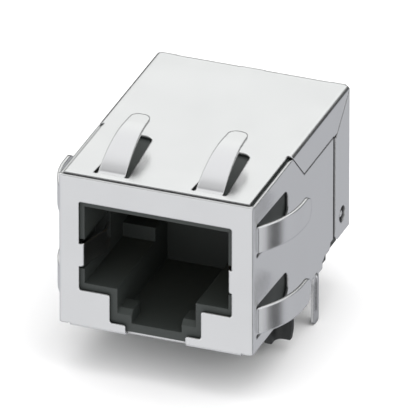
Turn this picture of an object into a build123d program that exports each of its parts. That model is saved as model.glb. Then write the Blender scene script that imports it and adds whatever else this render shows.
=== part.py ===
from build123d import *
import os
from math import cos, radians, tan

# Shielded RJ45 jack for a circuit board, plug side at low Y and the board below.
# Everything is drawn with Y from the front face and Z from the board, in mm.
# It is then moved so that the origin is on the board midway between the two locating pegs.

# Outside
width = 16.1
depth = 21.8
height = 13.35
peg_setback = 9.4

# Sheet and fits
sheet = 0.25
corner_r = 0.34
fold_r = 0.2
seam = 0.09
lap = 0.03
fit = 0.05

# Plug cavity and latch channel
cavity_width = 11.92
cavity_floor = 3.86
lintel = 2.74
cavity_depth = 11.2
latch_width = 6.5
latch_floor = 1.04
catch_gap = 4.16
catch_top = 2.11
catch_depth = 2.15
stop_length = 2.65
stop_height = 1.2

# Opening in the front plate
mouth_side = 0.38
mouth_below = 0.53
mouth_above = 0.49
mouth_corner_r = 0.2
slot_side = 0.55
slot_below = 0.13
notch_width = 5.0
notch_depth = 0.5

# Lower edge of the side walls and the flange under the front
wall_clear = 0.25
wall_shoulder = 0.12
wall_back_step = 0.64
wall_back_low = 1.0
wall_back_high = 1.5
wall_slope = 0.6
arch_y = 0.75
arch_slope = 0.25
flange_width = 14.2
flange_depth = 4.0
relief_width = 0.15
relief_height = 0.06

# Ground pins
pin_y = 14.22
pin_width = 1.27
pin_reach = 4.03
pin_tip_r = 0.5
pin_edge_r = 0.12
rib_r = 0.35
rib_height = 0.12
rib_top = 0.1
rib_bottom = -2.8

# Spring fingers outside
finger_rise = 1.94
finger_angle = 40.0
finger_root_r = 0.4
finger_bow = 0.97
finger_root_width = 2.3
finger_length = 6.65
side_finger_y = 1.2
side_finger_low = 2.74
side_finger_drop = 3.49
side_finger_tip_width = 2.18
top_finger_y = 1.3
top_finger_x = 4.05
top_finger_tip_width = 1.56
finger_tip_round = 0.85
finger_relief = 0.3
finger_play = 0.11

# Ground springs inside the mouth
spring_height = 1.98
spring_rise = 2.55
spring_x = 6.12
spring_waist_x = 5.28
spring_waist_y = 3.1
spring_end_x = 5.55
spring_end_y = 4.3

# Rear shield
flap_y = 8.6
flap_slope = 2.8
flap_drop = 2.85
slope_share = 1.4
side_drop = 0.25
front_drop = 0.12
flap_relief_y = (8.45, 8.85)
flap_relief_x = 0.42
flap_relief_depth = 0.3
lid_corner_drop = 0.2
back_flap_length = 3.4
back_flap_bottom = 1.03
joggle_length = 0.42
joggle_r = 0.2
lap_play = 0.15
lap_height = 0.35
wall_end = 0.7
bridge_middle = 1.9
bridge_side = 6.4
bridge_recess = 0.3
bridge_height = 0.4
flap_corner = 0.5
dimple_inset = 1.84
dimple_z = 2.75
dimple_r = 0.45
dimple_top_r = 0.24
dimple_rise = 0.18
wall_draw = 0.14
dimple_window_r = 0.68

# Housing
standoff = 0.5
roof = 0.85
chamber_wall = 0.52
back_wall = 1.2
carrier_front = 1.5
spring_recess_x = 7.2
spring_recess_y = 5.85
spring_recess_play = 0.3
peg_pitch = 12.7
peg_r = 1.55
peg_reach = 3.04
peg_root = 0.95
peg_blade = 0.6
peg_flute_r = 0.6
peg_taper = 0.12
peg_taper_length = 0.8
rear_foot_length = 1.6
rear_foot_gap = 0.7
front_foot_length = 1.4
front_foot_gap = 1.0
foot_inset = 0.05
foot_width = 1.9
ledge_bottom = 0.62
ledge_inset = 2.4
catch_corner = 0.4

# Contacts, carrier and the board behind the cavity
ways = 8
contact_pitch = 1.02
contact_width = 0.45
contact_thickness = 0.3
contact_fold_r = 0.4
contact_fold_y = 0.86
contact_tip_y = 9.3
contact_drop = 3.8
contact_back = 0.9
carrier_height = 1.5
contact_depth = 0.75
groove_front = 0.4
tunnel_y = 6.0
comb_length = 2.6
comb_height = 3.75
comb_slot = 1.8
board_thickness = 0.8
board_drop = 3.2
tail_width = 0.5
tail_reach = 3.1
tail_pitch = 2.54
tail_inset = 2.1
tail_fit = 0.02
board_hole_play = 0.15

# Places worked out from the sizes above
cavity_top = height - lintel
stop_y = cavity_depth - stop_length
side_finger_z = (side_finger_low, height - side_finger_drop)
spring_z = cavity_floor + spring_rise
flap_bottom = height - flap_drop
back_flap_y = depth - back_flap_length
joggle_y = back_flap_y - joggle_length - seam
wall_end_y = depth - wall_end
dimple_y = depth - dimple_inset
rear_foot_y = (joggle_y - rear_foot_gap - rear_foot_length, joggle_y - rear_foot_gap)
front_foot_y = (flange_depth + front_foot_gap, flange_depth + front_foot_gap + front_foot_length)
wall_back_y = rear_foot_y[0] - fit
half = width / 2
inside = half - sheet
housing_x = inside - fit
joggle = sheet + lap
rear_x = housing_x - joggle
chamber_x = rear_x - chamber_wall
housing_top = height - sheet - fit
chamber_top = housing_top - roof
chamber_y = cavity_depth + back_wall
housing_front = sheet + fit
housing_rear = depth - 2 * sheet - fit
mouth_x = cavity_width / 2 + mouth_side
mouth_z = (cavity_floor - mouth_below, cavity_top + mouth_above)
slot_x = latch_width / 2 + slot_side
slot_z = latch_floor - slot_below
carrier_bottom = chamber_top - fit - carrier_height
contact_z = carrier_bottom + contact_depth
contact_back_y = chamber_y + contact_back
comb_y = cavity_depth - comb_length
comb_bottom = carrier_bottom - comb_height
board_z = contact_z - board_drop
tail_row_y = (housing_rear - tail_inset - tail_pitch, housing_rear - tail_inset)
first_contact_x = -contact_pitch * (ways - 1) / 2


def block(x, y, z):
    """A box given by its low and high limit along each axis."""
    size = Box(x[1] - x[0], y[1] - y[0], z[1] - z[0], align=(Align.MIN, Align.MIN, Align.MIN))
    return Pos(x[0], y[0], z[0]) * size


def carried(face, axis, low, high):
    """A face drawn across one axis, carried along that axis from low to high."""
    plane = {"x": Plane.YZ, "y": Plane.XZ, "z": Plane.XY}[axis]
    start = -high if axis == "y" else low
    return extrude(plane.offset(start) * face, amount=high - low)


def prism(axis, points, low, high, radius=0.0):
    """A straight-sided block with the given outline, its corners rounded."""
    if radius:
        outline = FilletPolyline(*points, radius=radius, close=True)
    else:
        outline = Polyline(*points, close=True)
    return carried(make_face(outline), axis, low, high)


def strip(axis, points, radius, low, high, thickness=sheet):
    """Sheet folded along a line of points, which is the middle of its thickness."""
    path = FilletPolyline(*points, radius=radius)
    return carried(trace(path, thickness), axis, low, high)


def both_sides(shape):
    """A shape and its mirror image across the jack's middle plane."""
    return shape + mirror(shape, Plane.YZ)


def finger(tip_width):
    """A spring finger rooted at X = 0 that runs along X and bends up towards Y, its width across Z."""
    angle = radians(finger_angle)
    corner_x = finger_rise / tan(angle)
    bend_r = finger_bow * finger_rise / (1 - cos(angle)) - finger_root_r
    mid = -sheet / 2
    start = -finger_relief - sheet
    path = [(start, mid), (0, mid), (corner_x, finger_rise + mid), (finger_length, finger_rise + mid)]
    root = finger_root_width / 2
    tip = tip_width / 2
    tip_r = finger_tip_round * tip
    outline = [(start, -root), (finger_length, -tip), (finger_length, tip), (start, root)]
    bent = strip("z", path, (finger_root_r, bend_r), -root, root)
    return bent & prism("y", outline, -finger_rise, 2 * finger_rise, (0, tip_r, tip_r, 0))


def finger_window(tip_width):
    """The hole that a finger is cut from, in the same place as the finger."""
    root = finger_root_width / 2 + finger_relief
    tip = tip_width / 2 + finger_play
    end = finger_length + finger_play
    root_r = finger_relief / 2
    tip_r = finger_tip_round * tip
    outline = [(-finger_relief, -root), (end, -tip), (end, tip), (-finger_relief, root)]
    return prism("y", outline, -2 * sheet, sheet, (root_r, tip_r, tip_r, root_r))


def side_places():
    """Where the fingers stand on the two side walls."""
    places = []
    for z in side_finger_z:
        places.append(Plane((half, side_finger_y, z), x_dir=(0, 1, 0), z_dir=(0, 0, -1)).location)
        places.append(Plane((-half, side_finger_y, z), x_dir=(0, 1, 0), z_dir=(0, 0, 1)).location)
    return places


def top_places():
    """Where the fingers stand on the top plate."""
    spots = (-top_finger_x, top_finger_x)
    return [Plane((x, top_finger_y, height), x_dir=(0, 1, 0), z_dir=(1, 0, 0)).location for x in spots]


def ground_pin():
    """A ground pin with rounded edges and tip, stiffened by a rib pressed out along its middle."""
    pin_front = pin_y - pin_width / 2
    pin_back = pin_y + pin_width / 2
    root = wall_clear + pin_width / 2
    pin = prism("z", [
        (inside, pin_front), (half, pin_front), (half, pin_back), (inside, pin_back),
    ], -pin_reach, root, pin_edge_r)
    pin &= prism("x", [
        (pin_front, root), (pin_front, -pin_reach), (pin_back, -pin_reach), (pin_back, root),
    ], inside, half, (0, pin_tip_r, pin_tip_r, 0))
    rod = Pos(half + rib_height - rib_r, pin_y, (rib_top + rib_bottom) / 2)
    rib = rod * Cylinder(rib_r, rib_top - rib_bottom)
    for z in (rib_top, rib_bottom):
        rib += Pos(half + rib_height - rib_r, pin_y, z) * Sphere(rib_r)
    groove = rib_r - sheet
    hollow = block((0, inside + rib_height), (pin_y - groove, pin_y + groove), (rib_bottom, rib_top))
    reach = (half - sheet / 2, half + rib_height)
    outer_half = block(reach, (pin_front, pin_back), (-pin_reach, rib_top + rib_r))
    return pin + (rib & outer_half), hollow


def dimple():
    """The dimple that snaps the two shields together: the bump and the hollow behind it."""
    place = Pos(inside - lap + dimple_rise / 2, dimple_y, dimple_z) * Rot(0, 90, 0)
    bump = place * Cone(dimple_r, dimple_top_r, dimple_rise)
    hollow = Pos(-sheet, 0, 0) * place * Cone(dimple_r - wall_draw, dimple_top_r - wall_draw, dimple_rise)
    return bump, hollow


def side_profile():
    """The side walls seen from the side."""
    lap_top = flap_bottom - lap_height
    lap_y = joggle_y + joggle_r / 2
    arch = joggle_y - arch_y
    return prism("x", [
        (-1, wall_clear), (pin_y, wall_clear), (pin_y, wall_shoulder), (wall_back_y, wall_shoulder),
        (wall_back_y, wall_back_step), (wall_back_y + wall_slope, wall_back_low), (arch, wall_back_low),
        (arch + arch_slope, wall_back_high), (wall_end_y, wall_back_high), (wall_end_y, lap_top),
        (lap_y, lap_top), (lap_y, flap_bottom), (flap_y + flap_slope, flap_bottom),
        (flap_y + flap_slope * side_drop / flap_drop, height - side_drop), (corner_r, height - side_drop),
        (corner_r, height - front_drop), (-1, height - front_drop),
    ], -half, half)


def front_shield():
    """Front plate, both sides, the flange under the front and all the springs, folded from one sheet."""
    wall = half - sheet / 2
    lapped = wall - joggle
    joggle_end = joggle_y + joggle_length
    front = sheet / 2
    plan = [
        (-lapped, wall_end_y), (-lapped, joggle_end), (-wall, joggle_y), (-wall, front),
        (wall, front), (wall, joggle_y), (lapped, joggle_end), (lapped, wall_end_y),
    ]
    bend = corner_r - sheet / 2
    bends = (joggle_r, joggle_r, bend, bend, joggle_r, joggle_r)
    shell = strip("z", plan, bends, 0, height) & side_profile()
    edge = flange_width / 2
    shell += strip("x", [(front, 2 * corner_r), (front, front), (flange_depth, front)], bend, -edge, edge)
    relief = block((edge, edge + relief_width), (-1, 2 * corner_r), (-1, wall_clear + relief_height))
    shell -= both_sides(relief)

    # Mouth for the plug, with the slot for its latch and the notch down to the board
    shell -= prism("y", [
        (-mouth_x, mouth_z[0]), (-slot_x, mouth_z[0]), (-slot_x, slot_z), (-notch_width / 2, slot_z),
        (-notch_width / 2, -1), (notch_width / 2, -1), (notch_width / 2, slot_z), (slot_x, slot_z),
        (slot_x, mouth_z[0]), (mouth_x, mouth_z[0]), (mouth_x, mouth_z[1]), (-mouth_x, mouth_z[1]),
    ], -1, notch_depth, mouth_corner_r)

    # Ground springs that turn in through the mouth
    low = spring_z - spring_height / 2
    high = spring_z + spring_height / 2
    spring = strip("z", [
        (mouth_x + sheet, front), (spring_x, front),
        (spring_waist_x, spring_waist_y), (spring_end_x, spring_end_y),
    ], (sheet, 2 * sheet), low, high)
    shell += both_sides(spring)

    # Fingers on the sides
    for place in side_places():
        shell -= place * finger_window(side_finger_tip_width)
    for place in side_places():
        shell += place * finger(side_finger_tip_width)

    # Ground pins, and the dimples that hold the rear shield
    for added, hollow in (ground_pin(), dimple()):
        shell += both_sides(added)
        shell -= both_sides(hollow)
    return shell


def rear_shield():
    """Top plate with its two fingers, side flaps, back wall and back flaps, folded from one sheet."""
    wall = half - sheet / 2
    top = height - sheet / 2
    back = depth - sheet / 2
    lid_back = depth - corner_r
    flap_end = joggle_y + lap_play
    flap_top = flap_bottom + seam
    lid_side = inside - seam - lap
    slant = slope_share * seam
    across = [(-wall, flap_bottom), (-wall, top), (wall, top), (wall, flap_bottom)]
    lid = strip("y", across, fold_r, sheet + seam, lid_back)
    lid &= prism("x", [
        (0, height), (0, flap_top), (flap_end, flap_top), (flap_end, flap_bottom),
        (flap_end + flap_corner, flap_bottom - lid_corner_drop), (lid_back, top - sheet), (lid_back, height),
    ], -half, half)
    lid -= both_sides(prism("x", [
        (-1, flap_bottom), (flap_y + flap_slope + slant, flap_bottom),
        (flap_y + slant, height), (-1, height),
    ], lid_side, half))
    relief_z = (height - flap_relief_depth, height)
    lid -= both_sides(block((half - flap_relief_x, half), flap_relief_y, relief_z))

    # Back wall and back flaps
    around = [(-wall, back_flap_y), (-wall, back), (wall, back), (wall, back_flap_y)]
    shell = strip("z", around, fold_r, back_flap_bottom, height - corner_r)
    flap_upper = flap_bottom - lid_corner_drop - seam
    shell &= prism("x", [
        (back_flap_y, back_flap_bottom + flap_corner), (back_flap_y + flap_corner, back_flap_bottom),
        (depth, back_flap_bottom), (depth, height), (lid_back + seam, top - sheet),
        (flap_end + flap_corner + seam, flap_upper), (back_flap_y, flap_upper),
    ], -half, half)

    # The fold between top and back wall, cut away between three bridges
    span = half - corner_r
    fold = strip("x", [(lid_back - 1, top), (back, top), (back, height - 1)], fold_r, -span, span)
    gap_z = (height - bridge_height, height + 1)
    gap = block((bridge_middle / 2, bridge_side), (depth - bridge_recess, depth + 1), gap_z)
    shell += lid + (fold - both_sides(gap))

    # Fingers on the top
    for place in top_places():
        shell -= place * finger_window(top_finger_tip_width)
    for place in top_places():
        shell += place * finger(top_finger_tip_width)

    # Round windows over the dimples of the side walls
    window = Pos(half, dimple_y, dimple_z) * Rot(0, 90, 0) * Cylinder(dimple_window_r, 4 * sheet)
    return shell - both_sides(window)


def peg():
    """A locating peg: round where it meets the housing, four fluted blades below."""
    tip = -peg_reach
    boss = housing_x - peg_pitch / 2
    root = Pos(0, 0, -peg_root / 2) * Cylinder(peg_r, peg_root)
    root += block((-boss, boss), (-boss, boss), (0, standoff))
    cone = Pos(0, 0, tip + peg_taper_length / 2) * Cone(peg_r - peg_taper, peg_r, peg_taper_length)
    shaft_length = peg_reach - peg_taper_length - peg_root
    shaft = Pos(0, 0, -peg_root - shaft_length / 2) * Cylinder(peg_r, shaft_length)
    blades = cone + shaft
    flute = peg_blade / 2
    for x in (-1, 1):
        for y in (-1, 1):
            blades -= prism("z", [
                (x * flute, y * flute), (x * 2 * peg_r, y * flute),
                (x * 2 * peg_r, y * 2 * peg_r), (x * flute, y * 2 * peg_r),
            ], tip - 1, -peg_root, (peg_flute_r, 0, 0, 0))
    return root + blades


def housing():
    """The moulded body: plug cavity, latch channel, chamber behind, feet and locating pegs."""
    cavity_x = cavity_width / 2
    latch_x = latch_width / 2
    body = block((-housing_x, housing_x), (housing_front, housing_rear), (standoff, housing_top))
    body += block((-housing_x, housing_x), (housing_front, flange_depth + fit), (wall_clear + fit, standoff))
    behind = (joggle_y - fit, depth)
    body -= both_sides(block((rear_x, half), behind, (wall_back_high - fit, height)))
    body -= both_sides(block((rear_x, half), behind, (0, ledge_bottom)))
    body -= both_sides(block((rear_x, half), (depth - ledge_inset, depth), (0, height)))

    # Plug cavity and the channel for the plug's latch
    body -= block((-cavity_x, cavity_x), (0, cavity_depth), (cavity_floor, cavity_top))
    body -= block((-latch_x, latch_x), (0, cavity_depth), (latch_floor, cavity_top))
    catch = prism("x", [
        (housing_front, latch_floor), (catch_depth, latch_floor), (catch_depth, catch_top),
        (housing_front + catch_corner, catch_top), (housing_front, catch_top - catch_corner),
    ], catch_gap / 2, latch_x)
    stop = block((latch_x, cavity_x), (stop_y, cavity_depth), (cavity_floor, cavity_floor + stop_height))
    body += both_sides(catch + stop)

    # Recesses that the ground springs flex into
    low = spring_z - spring_height / 2 - spring_recess_play
    high = spring_z + spring_height / 2 + spring_recess_play
    body -= both_sides(block((cavity_x, spring_recess_x), (0, spring_recess_y), (low, high)))

    # Slot for the contact carrier above the cavity, and the chamber behind it
    body -= block((-chamber_x, chamber_x), (carrier_front, chamber_y), (cavity_top, chamber_top))
    body -= block((-chamber_x, chamber_x), (chamber_y, depth), (0, chamber_top))

    # Feet and pegs
    foot_x = housing_x - foot_inset
    body += both_sides(block((foot_x - foot_width, foot_x), front_foot_y, (0, standoff)))
    body += both_sides(block((chamber_x, foot_x), rear_foot_y, (0, standoff)))
    for x in (-peg_pitch / 2, peg_pitch / 2):
        body += Pos(x, peg_setback, 0) * peg()
    return body


def contact_carrier():
    """The moulding that holds the contacts over the cavity, with a comb for their free ends."""
    side = chamber_x - fit
    front = carrier_front + fit
    end = chamber_y
    plate = block((-side, side), (front, end), (carrier_bottom, carrier_bottom + carrier_height))
    comb_x = cavity_width / 2 - fit
    plate += block((-comb_x, comb_x), (comb_y, cavity_depth - fit), (comb_bottom, carrier_bottom))
    gap = contact_width / 2 + fit
    groove_top_z = contact_z + contact_thickness / 2 + fit
    for x in contact_places():
        across = (x - gap, x + gap)
        plate -= block(across, (front + groove_front, tunnel_y), (carrier_bottom, groove_top_z))
        plate -= block(across, (tunnel_y, end), (contact_z - contact_thickness / 2 - fit, groove_top_z))
        plate -= block(across, (comb_y, comb_y + comb_slot), (comb_bottom, carrier_bottom))
    return plate


def contact_places():
    """The contacts' places across the jack."""
    return [first_contact_x + n * contact_pitch for n in range(ways)]


def contact(x):
    """One contact: up from the inner board, forward over the cavity, folded back and down into it."""
    tip = (contact_tip_y, contact_z - contact_drop)
    path = [(contact_back_y, board_z - fit), (contact_back_y, contact_z), (contact_fold_y, contact_z), tip]
    half_width = contact_width / 2
    radii = (contact_thickness, contact_fold_r)
    return strip("x", path, radii, x - half_width, x + half_width, contact_thickness)


def tail_places():
    """The tails' places, in two rows that are staggered by half a step."""
    places = []
    for n in range(ways):
        row = n % 2
        places.append(((n - (ways - 1) / 2) * tail_pitch / 2, tail_row_y[row]))
    return places


def tail(x, y):
    """One square tail from above the inner board down through the pin block and the user's board."""
    top = board_z + board_thickness + tail_width
    pin = Pos(x, y, (top - tail_reach) / 2) * Box(tail_width, tail_width, top + tail_reach)
    ends = pin.faces().sort_by(Axis.Z)
    return chamfer(ends[0].edges() + ends[-1].edges(), tail_width / 4)


def inner_board():
    """The small circuit board between the contacts and the tails."""
    side = chamber_x - fit
    board = block((-side, side), (chamber_y + fit, housing_rear - fit), (board_z, board_z + board_thickness))
    contact_hole = contact_width / 2 + board_hole_play
    for x in contact_places():
        board -= Pos(x, contact_back_y, board_z) * Cylinder(contact_hole, 3 * board_thickness)
    for x, y in tail_places():
        board -= Pos(x, y, board_z) * Cylinder(tail_width / 2 + board_hole_play, 3 * board_thickness)
    return board


def pin_block():
    """The moulding that fills the chamber under the inner board and holds the tails square."""
    side = chamber_x - fit
    base = block((-side, side), (chamber_y + fit, housing_rear - fit), (standoff, board_z - fit))
    hole = tail_width / 2 + tail_fit
    for x, y in tail_places():
        base -= block((x - hole, x + hole), (y - hole, y + hole), (0, board_z))
    return base


os.makedirs("parts", exist_ok=True)
pieces = {
    "front_shield": front_shield(),
    "rear_shield": rear_shield(),
    "housing": housing(),
    "contact_carrier": contact_carrier(),
    "inner_board": inner_board(),
    "pin_block": pin_block(),
}
for number, x in enumerate(contact_places(), 1):
    pieces[f"contact_{number}"] = contact(x)
for number, (x, y) in enumerate(tail_places(), 1):
    pieces[f"tail_{number}"] = tail(x, y)

for name, piece in pieces.items():
    export_step(Pos(0, -peg_setback, 0) * piece, f"parts/{name}.step")
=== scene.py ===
import math
import bpy
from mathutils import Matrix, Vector


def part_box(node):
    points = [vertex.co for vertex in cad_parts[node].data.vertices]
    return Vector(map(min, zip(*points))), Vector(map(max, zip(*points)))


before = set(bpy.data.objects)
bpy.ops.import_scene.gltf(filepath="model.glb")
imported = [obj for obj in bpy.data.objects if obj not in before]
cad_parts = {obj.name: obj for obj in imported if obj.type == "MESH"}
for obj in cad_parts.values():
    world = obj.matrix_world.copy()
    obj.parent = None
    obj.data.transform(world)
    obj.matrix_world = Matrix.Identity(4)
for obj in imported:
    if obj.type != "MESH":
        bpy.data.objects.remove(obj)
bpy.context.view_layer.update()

# Camera
# A long lens looks down on the jack from its front right corner.
# It is placed by the foot of the front plate, whose middle falls on a known pixel of the picture.
picture_px = 408
foot_px = (154.95, 338.5)
foot_height = 0.00026
azimuth = math.radians(20.97)
elevation = math.radians(28.71)
camera_distance = 1.31827
near_clip = 0.1
far_clip = 10
lens_mm = 1500
sensor_mm = 36
front_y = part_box("front_shield")[0][1]
foot = Vector((0, front_y, foot_height))
back = Vector((
    math.sin(azimuth) * math.cos(elevation),
    -math.cos(azimuth) * math.cos(elevation),
    math.sin(elevation),
))
right = Vector((math.cos(azimuth), math.sin(azimuth), 0))
up = back.cross(right)
focal_px = lens_mm / sensor_mm * picture_px
centre_px = picture_px / 2
aim = right * (centre_px - foot_px[0]) / focal_px - up * (centre_px - foot_px[1]) / focal_px - back
camera_data = bpy.data.cameras.new("camera")
camera_data.lens = lens_mm
camera_data.sensor_width = sensor_mm
camera_data.clip_start = near_clip
camera_data.clip_end = far_clip
camera = bpy.data.objects.new("camera", camera_data)
camera.location = foot + back * camera_distance
camera.rotation_euler = aim.to_track_quat("-Z", "Y").to_euler()
bpy.context.scene.collection.objects.link(camera)
bpy.context.scene.camera = camera
bpy.context.scene.view_settings.view_transform = "Standard"

# Floor
# The jack stands on the tips of its ground pins over a matt white floor.
# The floor takes the jack's shadow, but the plated sheet mirrors the room and not the floor.
floor_size = 3.0
floor_white = (0.985, 0.977, 0.976)
floor_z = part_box("front_shield")[0][2]
bpy.ops.object.select_all(action="DESELECT")
bpy.ops.mesh.primitive_plane_add(size=floor_size, location=(0, 0, floor_z))
floor = bpy.context.object
floor.name = "floor"
bpy.ops.object.transform_apply(location=True, rotation=True, scale=True)
floor.visible_glossy = False


def new_finish(name):
    """A new material with its nodes."""
    finish = bpy.data.materials.new(name)
    finish.use_nodes = True
    return finish


floor_paint = new_finish("floor_white")
shader = floor_paint.node_tree.nodes["Principled BSDF"]
shader.inputs["Base Color"].default_value = (*floor_white, 1)
shader.inputs["Roughness"].default_value = 1.0
shader.inputs["Specular IOR Level"].default_value = 0.0
floor.data.materials.append(floor_paint)

# Room
# Pale light from all round, dimmer behind the jack and overhead in front, with two dark patches.
# The sheet mirrors a dimmer horizon than the one that lights the floor.
# Each span, rise and depth is the stretch of a direction's height or depth over which the light changes.
low_wall_span = (-0.38, -0.22)
low_wall_depth = (-0.7, 0.85)
low_wall_light = (0.84, 0.56)
low_patch_place = (math.radians(10), math.radians(-28.7))
low_patch_edge = math.radians(12)
low_patch_core = math.radians(7)
low_patch_light = 0.0
horizon_depth = (0.0, 0.6)
horizon_light = (1.75, 0.07)
mirrored_horizon_light = (1.1, 0.07)
ceiling_span = (0.28, 0.4)
ceiling_rise = (0.5, 0.85)
ceiling_light = (1.12, 0.98)
ceiling_front_depth = (-0.5, -0.05)
ceiling_front_share = (0.12, 1.0)
high_patch_place = (math.radians(61), math.radians(21))
high_patch_edge = math.radians(19)
high_patch_core = math.radians(12)
high_patch_light = 0.2
low_tint_depth = (-0.5, 0.5)
low_front_tint = (0.966, 0.976, 1.0, 1)
low_back_tint = (0.935, 0.95, 1.0, 1)
high_tint_span = (-0.3, 0.3)
high_tint = (0.985, 1.0, 0.995, 1)
overhead_span = (0.55, 0.85)
overhead_tint = (0.985, 0.991, 1.01, 1)
white = (1, 1, 1, 1)
rising = (0.0, 1.0)
falling = (1.0, 0.0)
room = bpy.data.worlds.new("room")
bpy.context.scene.world = room
room.use_nodes = True
nodes = room.node_tree.nodes
links = room.node_tree.links
background = nodes["Background"]
rays = nodes.new("ShaderNodeLightPath")
direction = nodes.new("ShaderNodeTexCoord")
axes = nodes.new("ShaderNodeSeparateXYZ")
links.new(direction.outputs["Generated"], axes.inputs["Vector"])
room_depth = axes.outputs["Y"]
room_height = axes.outputs["Z"]


def feed(socket, value):
    """Joins a socket to another node's output, or sets it to a plain value."""
    if isinstance(value, bpy.types.NodeSocket):
        links.new(value, socket)
    else:
        socket.default_value = value


def room_level(value, span, levels):
    """A level that goes smoothly from one end to the other as a value crosses its span."""
    node = nodes.new("ShaderNodeMapRange")
    node.interpolation_type = "SMOOTHSTEP"
    links.new(value, node.inputs["Value"])
    node.inputs["From Min"].default_value, node.inputs["From Max"].default_value = span
    node.inputs["To Min"].default_value, node.inputs["To Max"].default_value = levels
    return node.outputs["Result"]


def room_math(operation, first, *others):
    """One operation on numbers in the room's light, worked from the first to the last."""
    for other in others:
        node = nodes.new("ShaderNodeMath")
        node.operation = operation
        feed(node.inputs[0], first)
        feed(node.inputs[1], other)
        first = node.outputs["Value"]
    return first


def room_mix(kind, factor, low, high):
    """A level or a colour between two others."""
    node = nodes.new("ShaderNodeMix")
    node.data_type = kind
    feed(node.inputs["Factor"], factor)
    feed(node.inputs["A"], low)
    feed(node.inputs["B"], high)
    return node.outputs["Result"]


def dark_patch(place, edge, core, light):
    """The share of the room's light that a dark patch in one direction leaves."""
    bearing, rise = place
    toward = nodes.new("ShaderNodeVectorMath")
    toward.operation = "DOT_PRODUCT"
    toward.inputs[1].default_value = (
        math.cos(bearing) * math.cos(rise),
        math.sin(bearing) * math.cos(rise),
        math.sin(rise),
    )
    links.new(direction.outputs["Generated"], toward.inputs[0])
    return room_level(toward.outputs["Value"], (math.cos(edge), math.cos(core)), (1.0, light))


below = room_level(room_height, low_wall_span, falling)
above = room_level(room_height, ceiling_span, rising)
between = room_math("SUBTRACT", 1.0, below, above)
low_wall = room_math(
    "MULTIPLY",
    room_level(room_depth, low_wall_depth, low_wall_light),
    dark_patch(low_patch_place, low_patch_edge, low_patch_core, low_patch_light),
    below,
)
ceiling = room_math(
    "MULTIPLY",
    room_level(room_height, ceiling_rise, ceiling_light),
    dark_patch(high_patch_place, high_patch_edge, high_patch_core, high_patch_light),
    room_level(room_depth, ceiling_front_depth, ceiling_front_share),
    above,
)
horizon = room_math(
    "MULTIPLY",
    room_mix(
        "FLOAT",
        rays.outputs["Is Glossy Ray"],
        room_level(room_depth, horizon_depth, horizon_light),
        room_level(room_depth, horizon_depth, mirrored_horizon_light),
    ),
    between,
)
room_light = room_math("ADD", low_wall, ceiling, horizon)
low_part_tint = room_mix(
    "RGBA", room_level(room_depth, low_tint_depth, rising), low_front_tint, low_back_tint,
)
high_part_tint = room_mix(
    "RGBA", room_level(room_height, overhead_span, rising), high_tint, overhead_tint,
)
room_tint = room_mix(
    "RGBA", room_level(room_height, high_tint_span, rising), low_part_tint, high_part_tint,
)

# The camera itself sees plain white behind the floor.
seen_by_camera = rays.outputs["Is Camera Ray"]
links.new(room_mix("FLOAT", seen_by_camera, room_light, 1.0), background.inputs["Strength"])
links.new(room_mix("RGBA", seen_by_camera, room_tint, white), background.inputs["Color"])

# Lamp
# One wide soft disk overhead, a little in front of the jack and to its right.
# It lights the floor and the plastic, and the plated sheet doesn't mirror it.
lamp_size = 1.0
lamp_power = 3.75
lamp_place = (0.10, -0.19, 0.55)
lamp_data = bpy.data.lights.new("soft_lamp", "AREA")
lamp_data.shape = "DISK"
lamp_data.size = lamp_size
lamp_data.energy = lamp_power
lamp = bpy.data.objects.new("soft_lamp", lamp_data)
lamp.location = lamp_place
lamp.rotation_euler = (-lamp.location).to_track_quat("-Z", "Y").to_euler()
lamp.visible_glossy = False
bpy.context.scene.collection.objects.link(lamp)

# Shield
# Two folded pieces of thin steel sheet, plated a satin silver grey.
# The rolled sheet keeps a faint grain along its length, slight clouding, and softly rounded cut edges.
mm = 0.001
silver_dark = (0.785, 0.785, 0.785)
silver_pale = (0.825, 0.825, 0.825)
silver_roughness = (0.21, 0.27)
cloud_scale = 260
grain_scale = 9000
grain_stretch = (0.06, 1, 1)
grain_strength = 0.12
grain_depth = 0.004 * mm
cut_edge_r = 0.2 * mm
# Painted shade darkens the sheet's colour in its seams, slots and hollows, within the depth below.
seam_shade_depth = 0.5 * mm
seam_shade_tone = 0.12
# Painted shade darkens the pins' colour below the board's face, where the jack shades them.
pin_shade_span = (-0.5 * mm, 0.1 * mm)
pin_shade_tone = 0.62
noise_span = (0.3, 0.7)
open_share = (0.3, 0.95)
edge_samples = 6
crease_samples = 8


def object_noise(finish, scale, stretch=(1, 1, 1), detail=2.0):
    """Noise fixed to the piece, with its pattern stretched along each axis."""
    nodes = finish.node_tree.nodes
    links = finish.node_tree.links
    place = nodes.new("ShaderNodeTexCoord")
    mapping = nodes.new("ShaderNodeMapping")
    mapping.inputs["Scale"].default_value = stretch
    noise = nodes.new("ShaderNodeTexNoise")
    noise.inputs["Scale"].default_value = scale
    noise.inputs["Detail"].default_value = detail
    links.new(place.outputs["Object"], mapping.inputs["Vector"])
    links.new(mapping.outputs["Vector"], noise.inputs["Vector"])
    return noise.outputs["Fac"]


def level(finish, value, span, levels):
    """A number that follows a value over its span, between two levels."""
    node = finish.node_tree.nodes.new("ShaderNodeMapRange")
    node.inputs["From Min"].default_value, node.inputs["From Max"].default_value = span
    node.inputs["To Min"].default_value, node.inputs["To Max"].default_value = levels
    finish.node_tree.links.new(value, node.inputs["Value"])
    return node.outputs["Result"]


def clouded_colour(finish, value, dark, pale):
    """A colour that wanders between two close tones."""
    mix = finish.node_tree.nodes.new("ShaderNodeMix")
    mix.data_type = "RGBA"
    mix.inputs["A"].default_value = (*dark, 1)
    mix.inputs["B"].default_value = (*pale, 1)
    finish.node_tree.links.new(value, mix.inputs["Factor"])
    return mix.outputs["Result"]


def dimmed_colour(finish, colour, share):
    """A colour of which a share is left."""
    scaled = finish.node_tree.nodes.new("ShaderNodeVectorMath")
    scaled.operation = "SCALE"
    finish.node_tree.links.new(colour, scaled.inputs[0])
    finish.node_tree.links.new(share, scaled.inputs["Scale"])
    return scaled.outputs["Vector"]


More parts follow.
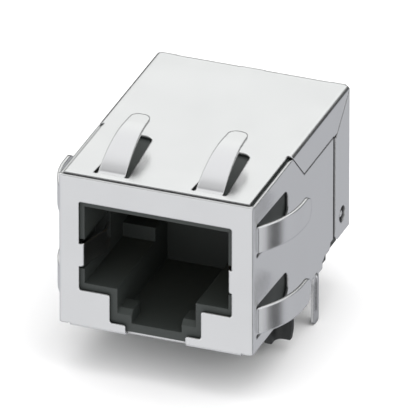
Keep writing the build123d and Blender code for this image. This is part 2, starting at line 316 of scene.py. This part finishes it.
def painted_seam_shade(finish, colour, depth, dark):
    """A colour with painted shade that darkens it in seams and slots."""
    seam_occlusion = finish.node_tree.nodes.new("ShaderNodeAmbientOcclusion")
    seam_occlusion.samples = crease_samples
    seam_occlusion.inputs["Distance"].default_value = depth
    return dimmed_colour(finish, colour, level(finish, seam_occlusion.outputs["AO"], open_share, (dark, 1.0)))


def painted_foot_shade(finish, colour, span, dark):
    """A colour with painted shade that darkens it below the board's face, on what goes through the
    board.
    """
    nodes = finish.node_tree.nodes
    place = nodes.new("ShaderNodeTexCoord")
    axes = nodes.new("ShaderNodeSeparateXYZ")
    finish.node_tree.links.new(place.outputs["Object"], axes.inputs["Vector"])
    return dimmed_colour(finish, colour, level(finish, axes.outputs["Z"], span, (dark, 1.0)))


def relief(finish, pattern, strength, depth, edge_r):
    """Small relief on a surface whose edges are rounded off."""
    nodes = finish.node_tree.nodes
    links = finish.node_tree.links
    rounded = nodes.new("ShaderNodeBevel")
    rounded.samples = edge_samples
    rounded.inputs["Radius"].default_value = edge_r
    bump = nodes.new("ShaderNodeBump")
    bump.inputs["Strength"].default_value = strength
    bump.inputs["Distance"].default_value = depth
    links.new(rounded.outputs["Normal"], bump.inputs["Normal"])
    links.new(pattern, bump.inputs["Height"])
    links.new(bump.outputs["Normal"], nodes["Principled BSDF"].inputs["Normal"])


def surface(finish, colour, roughness, metallic=0.0):
    """Joins a finish's colour and roughness to its surface shader."""
    shader = finish.node_tree.nodes["Principled BSDF"]
    finish.node_tree.links.new(colour, shader.inputs["Base Color"])
    finish.node_tree.links.new(roughness, shader.inputs["Roughness"])
    shader.inputs["Metallic"].default_value = metallic


def paint(node, finish):
    """Gives a CAD node its finish."""
    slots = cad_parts[node].data.materials
    slots.clear()
    slots.append(finish)


plated = new_finish("plated_sheet")
clouds = object_noise(plated, cloud_scale, detail=3.0)
grain = object_noise(plated, grain_scale, grain_stretch)
silver = clouded_colour(plated, clouds, silver_dark, silver_pale)
seam_shaded = painted_seam_shade(plated, silver, seam_shade_depth, seam_shade_tone)
shaded = painted_foot_shade(plated, seam_shaded, pin_shade_span, pin_shade_tone)
surface(plated, shaded, level(plated, clouds, noise_span, silver_roughness), metallic=1.0)
relief(plated, grain, grain_strength, grain_depth, cut_edge_r)
for name in ("front_shield", "rear_shield"):
    paint(name, plated)

# Housing
# One moulding of glass filled plastic, a dark greenish grey with a fine matt skin.
# It carries the cavity, the latch channel, the feet and the pegs.
grey_dark = (0.030, 0.035, 0.033)
grey_pale = (0.038, 0.044, 0.041)
grey_roughness = (0.50, 0.60)
grey_flow_scale = 320
grey_skin_scale = 14000
skin_strength = 0.25
skin_depth = 0.006 * mm
housing_edge_r = 0.12 * mm
# Painted shade darkens the pegs' colour below the board's face, where the jack shades them.
peg_shade_span = (-0.8 * mm, -0.2 * mm)
peg_shade_tone = 0.2
moulded = new_finish("moulded_plastic")
flow = object_noise(moulded, grey_flow_scale, detail=3.0)
skin = object_noise(moulded, grey_skin_scale)
grey = clouded_colour(moulded, flow, grey_dark, grey_pale)
shaded = painted_foot_shade(moulded, grey, peg_shade_span, peg_shade_tone)
surface(moulded, shaded, level(moulded, flow, noise_span, grey_roughness))
relief(moulded, skin, skin_strength, skin_depth, housing_edge_r)
paint("housing", moulded)

# Contact carrier and pin block
# Two black mouldings that slide into the housing from behind.
# The carrier holds the contacts over the cavity, and the block holds the tails square.
black_dark = (0.024, 0.025, 0.026)
black_pale = (0.032, 0.033, 0.034)
black_roughness = (0.45, 0.58)
black_flow_scale = 400
black_skin_scale = 16000
small_edge_r = 0.04 * mm
black = new_finish("black_plastic")
flow = object_noise(black, black_flow_scale, detail=3.0)
skin = object_noise(black, black_skin_scale)
black_tone = clouded_colour(black, flow, black_dark, black_pale)
surface(black, black_tone, level(black, flow, noise_span, black_roughness))
relief(black, skin, skin_strength, skin_depth, small_edge_r)
for name in ("contact_carrier", "pin_block"):
    paint(name, black)

# Inner board
# A small green laminate that lies flat in the chamber behind the cavity.
# The contacts and the tails are soldered into its holes, and it joins them.
green_dark = (0.02, 0.13, 0.055)
green_pale = (0.03, 0.17, 0.07)
green_roughness = (0.30, 0.42)
weave_scale = 2600
weave_strength = 0.3
weave_depth = 0.01 * mm
board_edge_r = 0.03 * mm
laminate = new_finish("green_laminate")
weave = object_noise(laminate, weave_scale, detail=1.0)
green = clouded_colour(laminate, weave, green_dark, green_pale)
surface(laminate, green, level(laminate, weave, noise_span, green_roughness))
relief(laminate, weave, weave_strength, weave_depth, board_edge_r)
paint("inner_board", laminate)

# Contacts
# Eight spring wires of phosphor bronze, folded back over the cavity and held by the carrier.
# They are gold plated and polished where the plug rubs them.
gold_dark = (0.80, 0.56, 0.22)
gold_pale = (0.88, 0.66, 0.30)
gold_roughness = (0.18, 0.26)
gold_tone_scale = 900
drawn_scale = 12000
contact_drawn_stretch = (1, 0.08, 0.08)
contact_drawn_strength = 0.1
contact_drawn_depth = 0.003 * mm
gold = new_finish("gold_plating")
tone = object_noise(gold, gold_tone_scale)
drawn = object_noise(gold, drawn_scale, contact_drawn_stretch)
yellow = clouded_colour(gold, tone, gold_dark, gold_pale)
surface(gold, yellow, level(gold, tone, noise_span, gold_roughness), metallic=1.0)
relief(gold, drawn, contact_drawn_strength, contact_drawn_depth, small_edge_r)
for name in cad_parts:
    if name.startswith("contact_") and name[-1].isdigit():
        paint(name, gold)

# Tails
# Eight square wires that stand in the pin block and go down through the user's board.
# They are tinned, a duller and slightly warmer grey than the shield.
tin_dark = (0.60, 0.60, 0.58)
tin_pale = (0.70, 0.69, 0.67)
tin_roughness = (0.30, 0.45)
tin_tone_scale = 1500
tail_drawn_stretch = (1, 1, 0.06)
tail_drawn_strength = 0.15
tail_drawn_depth = 0.004 * mm
tinned = new_finish("tinned_wire")
tone = object_noise(tinned, tin_tone_scale, detail=3.0)
drawn = object_noise(tinned, drawn_scale, tail_drawn_stretch)
warm_grey = clouded_colour(tinned, tone, tin_dark, tin_pale)
surface(tinned, warm_grey, level(tinned, tone, noise_span, tin_roughness), metallic=1.0)
relief(tinned, drawn, tail_drawn_strength, tail_drawn_depth, small_edge_r)
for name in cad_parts:
    if name.startswith("tail_"):
        paint(name, tinned)
